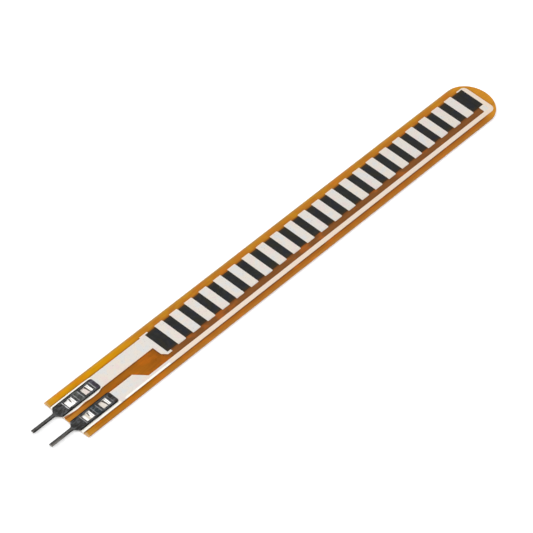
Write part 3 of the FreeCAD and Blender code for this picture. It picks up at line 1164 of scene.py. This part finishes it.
        # Painted highlights beside the plates, along the return lead and over the lit tine faces
        # in the windows; the tear darkened as painted shadow
        colour = bench.layered(
            colour,
            (bench.times(self.thin(bench), self.thin_share), self.thin_tone),
            (strip_highlights, self.strip_highlight_tone),
            (bench.largest(pits, hollows), self.pit_tone),
            (painted_highlight, self.highlight_tone),
            (bench.times(self.dimmed_highlight(bench), painted_highlight), self.dimmed_highlight_tone),
            (shadowed_tear, self.tear_shadow_tone),
            (frayed, self.frayed_tone),
        )
        relief = bench.relief(bench.noise(self.pulled_grain), self.pulled_depth)
        relief = bench.relief(flakes, self.flake_depth, relief)
        dull = bench.largest(painted_highlight, frayed, strip_highlights)
        return bench.surface(
            Base_Color=colour,
            Metallic=bench.times(bench.rest(dull), self.metal),
            Roughness=bench.between(flakes, *self.roughness),
            Normal=relief,
        )


@dataclass(frozen=True)
class CarbonInk:
    """Printed carbon: near black and matt, with a fine tooth and paler specks."""

    tone: Colour = seen_as(25, 26, 26)
    worn_tone: Colour = seen_as(38, 38, 36)
    worn_turn: Span = (0.40, 0.66)
    worn_to_tip: Span = (-10.0, 26.0)
    worn_tip_share: float = 0.5
    hue_grain: Grain = Grain(0.9, detail=1.0, distortion=0.6)
    navy: Tint = Tint(seen_as(24, 28, 38), (0.54, 0.66), 0.8)
    olive: Tint = Tint(seen_as(38, 36, 24), (0.46, 0.34), 0.8)
    edge: Tint = Tint(seen_as(52, 38, 16), (-0.4, -0.04), 0.9)
    speck_tone: Colour = seen_as(84, 83, 80)
    speck_share: float = 0.5
    speck_spacing: float = 0.42
    speck_radius: float = 0.10
    cloud_grain: Grain = Grain(0.9)
    tooth_grain: Grain = Grain(0.11, roughness=0.65)
    tooth_depth: float = 0.010
    roughness: Span = (0.46, 0.66)
    sheen_level: float = 0.26

    def build(self, layout: Layout) -> bpy.types.Material:
        """Makes the carbon ink's material.

        Args:
            layout: Where the inks lie.

        Returns:
            The material.
        """
        bench = FinishBench("carbon_ink", layout)
        band = layout.band
        cloud, hue = bench.noise(self.cloud_grain), bench.noise(self.hue_grain)
        to_tip = bench.times(bench.past(bench.x, *self.worn_to_tip), self.worn_tip_share)
        worn = bench.largest(bench.past(cloud, *self.worn_turn), to_tip)
        colour = bench.blend(worn, self.tone, self.worn_tone)
        colour = bench.tinted(colour, self.navy, hue)
        colour = bench.tinted(colour, self.olive, hue)
        off_middle = bench.size(bench.minus(bench.y, band.middle.y))
        past_edge = bench.minus(off_middle, band.high.y - band.middle.y)
        colour = bench.tinted(colour, self.edge, past_edge)
        specks = bench.specks(self.speck_spacing, self.speck_radius)
        colour = bench.blend(bench.times(specks, self.speck_share), colour, self.speck_tone)
        return bench.surface(
            Base_Color=colour,
            Roughness=bench.between(cloud, *self.roughness),
            Specular_IOR_Level=self.sheen_level,
            Normal=bench.relief(bench.noise(self.tooth_grain), self.tooth_depth),
        )


@dataclass(frozen=True)
class HighlightLine:
    """One pale line of painted highlight across both plates, and its strength on each."""

    past_first_window: float
    upper: float
    lower: float


@dataclass(frozen=True)
class StampedMetal:
    """Dark plated sheet with drawn streaks and dark rims; painted highlights on the far tines'
    bends and beside the windows, painted shade in the hollows behind the near tines.
    """

    # Tints of each part of each plate
    tone: Colour = seen_as(104, 105, 106)
    near_end: Tint = Tint(seen_as(84, 84, 83), (1.3, 0.7))
    upper_middle_tone: Colour = seen_as(140, 143, 134)
    lower_middle_tone: Colour = seen_as(78, 92, 98)
    middle_reach: Span = (-0.45, 0.35)
    middle_soft: float = 0.4
    upper_neck_tone: Colour = seen_as(98, 88, 108)
    lower_neck_tone: Colour = seen_as(98, 86, 78)
    neck_start: Span = (0.1, 0.5)

    # Clouds, streaks and mottling
    cloud_grain: Grain = Grain(0.8)
    cloud_depth: float = 0.005
    dark: Tint = Tint(seen_as(86, 87, 88), (0.60, 0.40), 0.7)
    drawn_grain: Grain = Grain(0.20, detail=4.0, drawn=0.25)
    drawn_depth: float = 0.003
    pale: Tint = Tint(seen_as(160, 161, 162), (0.46, 0.74), 0.6)
    pin: Tint = Tint(seen_as(128, 126, 121), (-0.3, -0.6))
    mottle_grain: Grain = Grain(0.45, detail=2.0, drawn=0.7)
    steel: Tint = Tint(seen_as(140, 143, 150), (0.52, 0.64), 0.5)
    soot: Tint = Tint(seen_as(62, 58, 54), (0.48, 0.36), 0.5)

    # Dark rims; their tone is also laid as painted shade in the hollows behind the near tines
    rim_and_shade_tone: Colour = seen_as(34, 33, 30)
    rim_share: float = 0.92
    plate_start: Span = (-0.1, 0.1)
    plate_rim: Span = (0.64, 0.74)
    pin_start: Span = (-0.5, -0.7)
    pin_rim: Span = (0.06, 0.17)

    # The bright side of the lower pin
    glint_tone: Colour = seen_as(196, 190, 182)
    glint_share: float = 0.8
    glint_across: Span = (-0.21, -0.08)
    glint_soft: float = 0.04
    glint_along: Span = (-35.6, -37.6)

    # Painted highlight on the far tines' bends, and the sheared sheet
    bend_highlight_tone: Colour = seen_as(250, 250, 248)
    far_half: Span = (0.0, 0.1)
    bend_turn: Span = (0.97, 0.86)
    bend_depth: Span = (-0.12, -0.04)
    past_window: float = 0.06
    window_soft: float = 0.04
    sheared: Tint = Tint(seen_as(48, 47, 45), (0.7, 0.4))

    # Painted highlights: pale lines where the sheet curves down beside the windows
    line_highlight_tone: Colour = seen_as(246, 246, 248)
    highlight_lines: tuple[HighlightLine, ...] = (
        HighlightLine(-0.74, 1.0, 0.45),
        HighlightLine(0.99, 0.40, 0.35),
        HighlightLine(1.65, 0.55, 0.40),
        HighlightLine(3.49, 0.55, 0.25),
    )
    line_width: float = 0.10
    line_soft: float = 0.07
    line_side: Span = (0.62, 0.44)
    ragged_grain: Grain = Grain(0.3, detail=2.0)
    ragged_swing: Span = (-0.06, 0.06)
    broken_turn: Span = (0.25, 0.5)
    broken_share: float = 0.5

    # Gloss
    dulled_metal: float = 0.25
    roughness: Span = (0.22, 0.46)

    def part_tints(self, bench: FinishBench) -> Socket:
        """The plating's colour before its streaks: each part of each plate has its own tint.

        Args:
            bench: The material's bench.

        Returns:
            The colour.
        """
        windows, on_upper = bench.layout.windows, bench.on_upper()
        from_end = bench.minus(bench.x, bench.layout.film.low.x)
        middle_x = windows.first_middle + windows.pitch / 2
        from_middle = bench.minus(bench.x, middle_x)
        middle = bench.within(from_middle, *self.middle_reach, self.middle_soft)
        last_window = windows.first_middle + windows.pitch + windows.length / 2
        neck = bench.past(bench.minus(bench.x, last_window), *self.neck_start)
        colour = bench.tinted(self.tone, self.near_end, from_end)
        return bench.layered(
            colour,
            (middle, bench.blend(on_upper, self.lower_middle_tone, self.upper_middle_tone)),
            (neck, bench.blend(on_upper, self.lower_neck_tone, self.upper_neck_tone)),
        )

    def rims(self, bench: FinishBench, from_end: Socket) -> Socket:
        """The dark rims along the two long edges of each plate and each pin.

        Args:
            bench: The material's bench.
            from_end: Distance from the film's square end, positive over the film.

        Returns:
            1 on a rim and 0 elsewhere.
        """
        off_middle = bench.size(bench.across_terminal())
        plate, pin = (
            bench.times(bench.past(off_middle, *rim), bench.past(from_end, *start))
            for rim, start in (
                (self.plate_rim, self.plate_start),
                (self.pin_rim, self.pin_start),
            )
        )
        return bench.largest(plate, pin)

    def glint(self, bench: FinishBench) -> Socket:
        """1 along the bright side of the lower pin, 0 elsewhere."""
        side = bench.within(bench.across_terminal(), *self.glint_across, self.glint_soft)
        return bench.times(side, bench.on_lower(), bench.past(bench.x, *self.glint_along))

    def bends(self, bench: FinishBench) -> tuple[Socket, Socket]:
        """Finds the bent sheet in the windows, with its painted highlight and painted shade.

        Args:
            bench: The material's bench.

        Returns:
            A painted highlight on the bend of each far tine, and painted shade in the hollow
            behind each near one.
        """
        far = bench.past(bench.along_window(), *self.far_half)
        turning = bench.times(
            bench.past(bench.up, *self.bend_turn),
            bench.in_windows(self.past_window, self.window_soft),
        )
        from_face = bench.minus(bench.z, bench.layout.film.high.z)
        bright = bench.times(turning, far, bench.past(from_face, *self.bend_depth))
        return bright, bench.times(turning, bench.rest(far))

    def painted_highlight(self, bench: FinishBench) -> Socket:
        """Painted highlights: pale lines across the plates beside the ends of each window, where
        the sheet curves down.

        Args:
            bench: The material's bench.

        Returns:
            1 on a line and 0 elsewhere.
        """
        ragged, on_upper = bench.noise(self.ragged_grain), bench.on_upper()
        along = bench.plus(bench.x, bench.between(ragged, *self.ragged_swing))
        from_first = bench.minus(along, bench.layout.windows.first_middle)
        half = self.line_width / 2
        lines = (
            bench.times(
                bench.within(
                    from_first,
                    line.past_first_window - half,
                    line.past_first_window + half,
                    self.line_soft,
                ),
                bench.between(on_upper, line.lower, line.upper),
            )
            for line in self.highlight_lines
        )
        side = bench.past(bench.size(bench.across_terminal()), *self.line_side)
        broken = bench.between(bench.past(ragged, *self.broken_turn), self.broken_share, 1.0)
        return bench.times(bench.largest(*lines), side, broken)

    def build(self, layout: Layout) -> bpy.types.Material:
        """Makes the terminals' material.

        Args:
            layout: Where the film and the terminals lie.

        Returns:
            The material.
        """
        bench = FinishBench("stamped_metal", layout)
        from_end = bench.minus(bench.x, layout.film.low.x)
        cloud, drawn = bench.noise(self.cloud_grain), bench.noise(self.drawn_grain)
        mottle = bench.noise(self.mottle_grain)
        colour = self.part_tints(bench)
        for tint, measure in (
            (self.dark, cloud),
            (self.pale, drawn),
            (self.pin, from_end),
            (self.steel, mottle),
            (self.soot, mottle),
        ):
            colour = bench.tinted(colour, tint, measure)
        bright, hollow = self.bends(bench)
        # Dark rims, a painted glint on the lower pin, and painted shade in the hollows behind the
        # near tines
        colour = bench.layered(
            colour,
            (bench.times(self.rims(bench, from_end), self.rim_share), self.rim_and_shade_tone),
            (bench.times(self.glint(bench), self.glint_share), self.glint_tone),
            (hollow, self.rim_and_shade_tone),
        )
        colour = bench.tinted(colour, self.sheared, bench.up)
        painted_highlight = self.painted_highlight(bench)
        # Painted highlights: lines beside the windows and the far tines' bends
        colour = bench.layered(colour, (painted_highlight, self.line_highlight_tone), (bright, self.bend_highlight_tone))
        relief = bench.relief(drawn, self.drawn_depth)
        dulled = bench.largest(bright, painted_highlight)
        return bench.surface(
            Base_Color=colour,
            Metallic=bench.between(dulled, 1.0, self.dulled_metal),
            Roughness=bench.between(cloud, *self.roughness),
            Normal=bench.relief(cloud, self.cloud_depth, relief),
        )


@dataclass(frozen=True)
class StudioWhite:
    """A white table top whose own light is only for the eye, so that it keeps the shadow."""

    tone: Colour = seen_as(242, 242, 242)
    lift: float = 0.3
    roughness: float = 0.9

    def build(self) -> bpy.types.Material:
        """Makes the floor's material.

        Returns:
            The material.
        """
        bench = MaterialBench("studio_white")
        paths = bench.node("ShaderNodeLightPath").outputs
        kinds = ("Is Camera Ray", "Is Glossy Ray", "Is Transmission Ray")
        seen = bench.largest(*(paths[kind] for kind in kinds))
        matt = bench.node("ShaderNodeBsdfDiffuse")
        bench.fill(matt, Color=self.tone, Roughness=self.roughness)
        glow = bench.node("ShaderNodeEmission")
        bench.fill(glow, Strength=bench.times(seen, self.lift))
        both = bench.node("ShaderNodeAddShader")
        for socket, shader in zip(both.inputs, (matt, glow)):
            bench.feed(socket, shader.outputs[0])
        return bench.close(both)


def put_on(node: bpy.types.Object, material: bpy.types.Material) -> None:
    """Gives every material slot of a node the same finish.

    Args:
        node: The node's object.
        material: Its finish.
    """
    if not node.material_slots:
        node.data.materials.append(material)
    for slot in node.material_slots:
        slot.material = material
    LOG.info("dressed %s in %s", node.name, material.name)


@dataclass
class BaseFilm:
    """The amber strip that carries everything."""

    nodes: dict[str, bpy.types.Object]
    layout: Layout
    finish: AmberFilm = AmberFilm()
    name: str = "base_film"

    def dress(self) -> None:
        """Puts the film's finish on its node."""
        put_on(self.nodes[self.name], self.finish.build(self.layout))


@dataclass
class PrintedInks:
    """The two silver leads, the carbon strip and the row of silver segment pads."""

    nodes: dict[str, bpy.types.Object]
    layout: Layout
    silver: SilverInk = SilverInk()
    carbon: CarbonInk = CarbonInk()
    lead_names: tuple[str, ...] = ("contact_trace", "return_trace")
    strip_name: str = "carbon_strip"
    segment_prefix: str = "segment_pad_"

    def segment_names(self) -> list[str]:
        """The segment pads, in order along the film."""
        return sorted(name for name in self.nodes if name.startswith(self.segment_prefix))

    def dress(self) -> None:
        """Puts the two inks on their nodes."""
        silver = self.silver.build(self.layout)
        for name in (*self.lead_names, *self.segment_names()):
            put_on(self.nodes[name], silver)
        put_on(self.nodes[self.strip_name], self.carbon.build(self.layout))


@dataclass
class CrimpTerminals:
    """The two stamped terminals."""

    nodes: dict[str, bpy.types.Object]
    layout: Layout
    finish: StampedMetal = StampedMetal()
    names: tuple[str, ...] = ("crimp_terminal_1", "crimp_terminal_2")

    def dress(self) -> None:
        """Puts the plated metal on both terminals."""
        metal = self.finish.build(self.layout)
        for name in self.names:
            put_on(self.nodes[name], metal)


@dataclass
class Stage:
    """The table that the sensor lies on."""

    half_width: float = 0.9
    finish: StudioWhite = StudioWhite()
    name: str = "table_top"

    def build(self) -> None:
        """Lays the table top at Z 0."""
        reach = self.half_width
        square = [(-reach, -reach, 0), (reach, -reach, 0), (reach, reach, 0), (-reach, reach, 0)]
        mesh = bpy.data.meshes.new(self.name)
        mesh.from_pydata(square, [], [(0, 1, 2, 3)])
        mesh.materials.append(self.finish.build())
        floor = bpy.data.objects.new(self.name, mesh)
        bpy.context.scene.collection.objects.link(floor)
        LOG.info("laid the table top, %.1f m across", 2 * reach)


def aim(thing: bpy.types.Object, spot: Vector, target: Vector, roll_deg: float = 0.0) -> None:
    """Links a lamp or a camera to the scene and points it.

    Args:
        thing: The lamp or the camera.
        spot: Where it stands.
        target: What it looks at.
        roll_deg: Its turn about its own line of sight.
    """
    bpy.context.scene.collection.objects.link(thing)
    roll = Quaternion((0.0, 0.0, 1.0), math.radians(roll_deg))
    thing.location = spot
    thing.rotation_mode = "QUATERNION"
    thing.rotation_quaternion = (target - spot).to_track_quat("-Z", "Y") @ roll


@dataclass(frozen=True)
class SoftLamp:
    """One square soft box that looks at the middle of the sensor."""

    name: str
    azimuth_deg: float
    elevation_deg: float
    distance: float
    side: float
    power: float

    def build(self) -> None:
        """Hangs the lamp."""
        data = bpy.data.lights.new(self.name, "AREA")
        data.shape = "SQUARE"
        data.size = self.side
        data.energy = self.power
        around, up = math.radians(self.azimuth_deg), math.radians(self.elevation_deg)
        level = math.cos(up) * self.distance
        height = math.sin(up) * self.distance
        spot = Vector((level * math.cos(around), level * math.sin(around), height))
        aim(bpy.data.objects.new(self.name, data), spot, Vector())
        LOG.info("hung %s", self.name)


@dataclass
class Studio:
    """The room's own light and its soft boxes."""

    overhead: float = 0.30
    horizon: float = 1.0
    horizon_top: float = 0.34
    lamps: tuple[SoftLamp, ...] = (
        SoftLamp("back_lamp", 88.0, 40.0, 0.70, 0.34, 1.9),
        SoftLamp("left_lamp", 152.0, 38.0, 0.70, 0.40, 1.3),
        SoftLamp("front_lamp", -96.0, 50.0, 0.80, 0.60, 1.7),
        SoftLamp("top_lamp", 180.0, 84.0, 0.80, 0.50, 1.5),
    )

    def build(self) -> None:
        """Lights the scene: bright walls, a dimmer ceiling, and white to the camera."""
        world = bpy.data.worlds.new("studio_air")
        world.use_nodes = True
        bench = Bench(world.node_tree)
        height = bench.parts(bench.node("ShaderNodeTexCoord").outputs["Generated"])[2]
        wall = bench.ramp(height, (0.0, self.horizon_top), (self.horizon, self.overhead))
        seen = bench.node("ShaderNodeLightPath").outputs["Is Camera Ray"]
        air = bench.node("ShaderNodeBackground")
        bench.fill(air, Color=WHITE, Strength=bench.largest(wall, seen))
        bench.fill(bench.node("ShaderNodeOutputWorld"), Surface=air.outputs[0])
        bpy.context.scene.world = world
        for lamp in self.lamps:
            lamp.build()


@dataclass(frozen=True)
class Viewpoint:
    """Where the photograph was taken from, as the film's own proportions give it."""

    position_mm: tuple[float, float, float] = (-236.746, -143.861, 287.297)
    target_mm: tuple[float, float, float] = (-1.995, -0.283, 0.26)
    roll_deg: float = 11.717
    lens_mm: float = 244.868
    sensor_mm: float = 36.0
    clip: Span = (0.01, 10.0)

    def build(self) -> None:
        """Sets the camera up and makes it the scene's own."""
        data = bpy.data.cameras.new("camera")
        data.sensor_width = self.sensor_mm
        data.lens = self.lens_mm
        data.clip_start, data.clip_end = self.clip
        camera = bpy.data.objects.new("camera", data)
        aim(camera, Vector(self.position_mm) * MM, Vector(self.target_mm) * MM, self.roll_deg)
        bpy.context.scene.camera = camera


def main() -> None:
    """Loads the frame, dresses every piece and sets up the studio."""
    logging.basicConfig(level=logging.INFO, format="%(name)s: %(message)s")
    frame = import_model()
    nodes = frame["nodes"]
    Viewpoint().build()
    layout = Layout.measured()
    BaseFilm(nodes, layout).dress()
    PrintedInks(nodes, layout).dress()
    CrimpTerminals(nodes, layout).dress()
    Stage().build()
    Studio().build()
    bpy.context.scene.view_settings.view_transform = "Standard"


if __name__ == "__main__":
    main()
